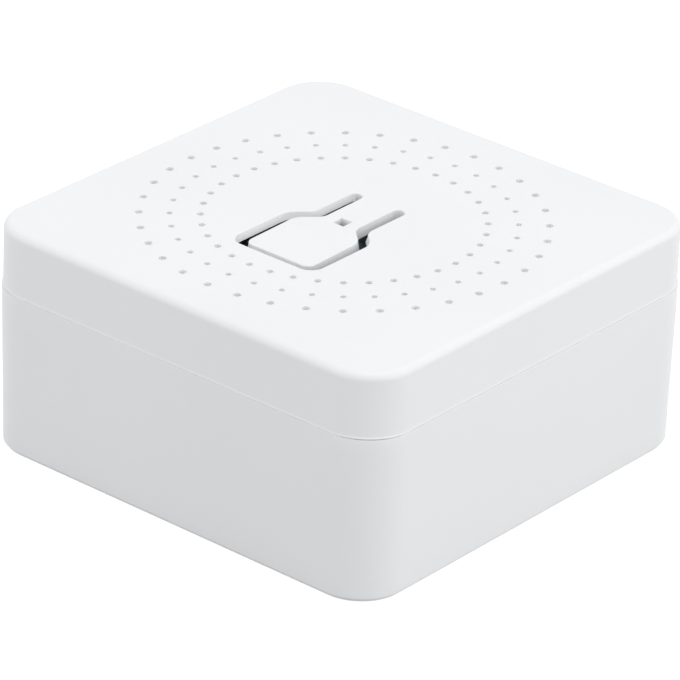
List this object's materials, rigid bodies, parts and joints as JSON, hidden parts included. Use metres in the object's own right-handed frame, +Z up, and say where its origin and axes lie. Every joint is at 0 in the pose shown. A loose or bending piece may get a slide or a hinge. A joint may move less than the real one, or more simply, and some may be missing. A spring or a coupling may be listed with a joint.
{
  "type": "smart wifi switch module",
  "caption": "Small square wall-box module with a plug-shaped flexing button, rings of dimples in its cover and screw wire terminals.",
  "frame": {"origin": "centre of the base's resting face", "axes": "+Z up out of the cover, +Y towards the wire entries and the plug sign's prongs, -Y and +X are the sides in the picture"},
  "size_m": [0.04, 0.04, 0.0193],
  "materials": {
    "case_plastic": "fine matt moulded surface",
    "board_laminate": "dark solder mask over glass laminate",
    "radio_laminate": "dark blue solder mask",
    "black_plastic": "moulded thermoset",
    "terminal_plastic": "green moulded polyamide",
    "relay_plastic": "black moulded polyester",
    "bobbin_plastic": "natural polyamide",
    "capacitor_film": "yellow potted box",
    "varistor_coat": "blue epoxy coating",
    "resistor_coat": "green flameproof coating",
    "lens": "clear epoxy over a pale body",
    "steel": "zinc plated",
    "magnet_iron": "nickel plated soft iron",
    "tin": "bright tin plating",
    "brass": "bare brass",
    "copper_wire": "enamelled copper wire",
    "aluminium_can": "sleeved aluminium can",
    "ferrite": "sintered ferrite",
    "silicon_mould": "moulded chip package",
    "chip_ceramic": "fired ceramic with tinned ends"
  },
  "bodies": {
    "housing": {"base_case": "case_plastic", "top_cover": "case_plastic", "main_board": "board_laminate", "status_led": "lens", "tact_switch_base": "black_plastic", "tact_switch_legs": "tin", "tact_dome": "steel", "tact_switch_cover": "steel", "wifi_module_board": "radio_laminate", "wifi_shield_can": "tin", "wifi_chip": "silicon_mould", "wifi_antenna": "brass", "terminal_block": "terminal_plastic", "terminal_contacts": "brass", "relay_case": "relay_plastic", "relay_base": "relay_plastic", "relay_bobbin": "bobbin_plastic", "relay_coil": "copper_wire", "relay_core": "magnet_iron", "relay_yoke": "magnet_iron", "relay_fixed_contact": "brass", "relay_blade_terminal": "brass", "relay_coil_pins": "tin", "safety_capacitor": "capacitor_film", "surge_varistor": "varistor_coat", "fuse_resistor": "resistor_coat", "bridge_rectifier": "silicon_mould", "bulk_capacitors": "aluminium_can", "converter_chip": "silicon_mould", "choke_core": "ferrite", "choke_winding": "copper_wire", "rectifier_diodes": "silicon_mould", "output_capacitor": "aluminium_can", "voltage_regulator": "silicon_mould", "relay_driver": "silicon_mould", "chip_resistors": "chip_ceramic", "chip_capacitors": "chip_ceramic"},
    "plug_button": {"plug_button": "case_plastic"},
    "tact_plunger": {"tact_plunger": "black_plastic"},
    "relay_armature": {"relay_armature": "magnet_iron"},
    "relay_card": {"relay_card": "bobbin_plastic"},
    "relay_moving_blade": {"relay_moving_blade": "copper_wire"},
    "terminal_screw_1": {"terminal_screw_1": "steel"},
    "terminal_clamp_1": {"terminal_clamp_1": "steel"},
    "terminal_screw_2": {"terminal_screw_2": "steel"},
    "terminal_clamp_2": {"terminal_clamp_2": "steel"},
    "terminal_screw_3": {"terminal_screw_3": "steel"},
    "terminal_clamp_3": {"terminal_clamp_3": "steel"},
    "terminal_screw_4": {"terminal_screw_4": "steel"},
    "terminal_clamp_4": {"terminal_clamp_4": "steel"},
    "terminal_screw_5": {"terminal_screw_5": "steel"},
    "terminal_clamp_5": {"terminal_clamp_5": "steel"},
    "terminal_screw_6": {"terminal_screw_6": "steel"},
    "terminal_clamp_6": {"terminal_clamp_6": "steel"}
  },
  "joints": [
    {"name": "button_press", "type": "hinge", "parent": "housing", "child": "plug_button", "pos_m": [0, 0.00425, 0.0184], "axis": [1, 0, 0], "range_deg": [0, 1.6], "stiffness_Nm_per_rad": 0.12},
    {"name": "plunger_travel", "type": "slide", "parent": "housing", "child": "tact_plunger", "axis": [0, 0, -1], "range_m": [0, 0.00025], "deforming": ["tact_dome"]},
    {"name": "armature_tilt", "type": "hinge", "parent": "housing", "child": "relay_armature", "pos_m": [-0.00365, 0.00375, 0.0124], "axis": [0, 1, 0], "range_deg": [0, 4], "stiffness_Nm_per_rad": 0.02},
    {"name": "card_slide", "type": "slide", "parent": "housing", "child": "relay_card", "axis": [-1, 0, 0], "range_m": [0, 0.00058]},
    {"name": "blade_flex", "type": "hinge", "parent": "housing", "child": "relay_moving_blade", "pos_m": [0.00525, 0.00375, 0.0128], "axis": [0, 1, 0], "range_deg": [0, 3.6]},
    {"name": "screw_1_turn", "type": "hinge", "parent": "housing", "child": "terminal_screw_1", "pos_m": [-0.0125, 0.01467, 0.0034], "axis": [0, 0, 1], "range_deg": [0, 1600]},
    {"name": "clamp_1_rise", "type": "slide", "parent": "housing", "child": "terminal_clamp_1", "axis": [0, 0, -1], "range_m": [0, 0.002]},
    {"name": "screw_2_turn", "type": "hinge", "parent": "housing", "child": "terminal_screw_2", "pos_m": [-0.0075, 0.01467, 0.0034], "axis": [0, 0, 1], "range_deg": [0, 1600]},
    {"name": "clamp_2_rise", "type": "slide", "parent": "housing", "child": "terminal_clamp_2", "axis": [0, 0, -1], "range_m": [0, 0.002]},
    {"name": "screw_3_turn", "type": "hinge", "parent": "housing", "child": "terminal_screw_3", "pos_m": [-0.0025, 0.01467, 0.0034], "axis": [0, 0, 1], "range_deg": [0, 1600]},
    {"name": "clamp_3_rise", "type": "slide", "parent": "housing", "child": "terminal_clamp_3", "axis": [0, 0, -1], "range_m": [0, 0.002]},
    {"name": "screw_4_turn", "type": "hinge", "parent": "housing", "child": "terminal_screw_4", "pos_m": [0.0025, 0.01467, 0.0034], "axis": [0, 0, 1], "range_deg": [0, 1600]},
    {"name": "clamp_4_rise", "type": "slide", "parent": "housing", "child": "terminal_clamp_4", "axis": [0, 0, -1], "range_m": [0, 0.002]},
    {"name": "screw_5_turn", "type": "hinge", "parent": "housing", "child": "terminal_screw_5", "pos_m": [0.0075, 0.01467, 0.0034], "axis": [0, 0, 1], "range_deg": [0, 1600]},
    {"name": "clamp_5_rise", "type": "slide", "parent": "housing", "child": "terminal_clamp_5", "axis": [0, 0, -1], "range_m": [0, 0.002]},
    {"name": "screw_6_turn", "type": "hinge", "parent": "housing", "child": "terminal_screw_6", "pos_m": [0.0125, 0.01467, 0.0034], "axis": [0, 0, 1], "range_deg": [0, 1600]},
    {"name": "clamp_6_rise", "type": "slide", "parent": "housing", "child": "terminal_clamp_6", "axis": [0, 0, -1], "range_m": [0, 0.002]}
  ],
  "couplings": [
    {"joint": "button_press", "follows": "plunger_travel", "rad_per_m": 110.5},
    {"joint": "armature_tilt", "follows": "card_slide", "rad_per_m": 120.36},
    {"joint": "blade_flex", "follows": "card_slide", "rad_per_m": 108.32},
    {"joint": "screw_1_turn", "follows": "clamp_1_rise", "rad_per_m": 13963},
    {"joint": "screw_2_turn", "follows": "clamp_2_rise", "rad_per_m": 13963},
    {"joint": "screw_3_turn", "follows": "clamp_3_rise", "rad_per_m": 13963},
    {"joint": "screw_4_turn", "follows": "clamp_4_rise", "rad_per_m": 13963},
    {"joint": "screw_5_turn", "follows": "clamp_5_rise", "rad_per_m": 13963},
    {"joint": "screw_6_turn", "follows": "clamp_6_rise", "rad_per_m": 13963}
  ]
}
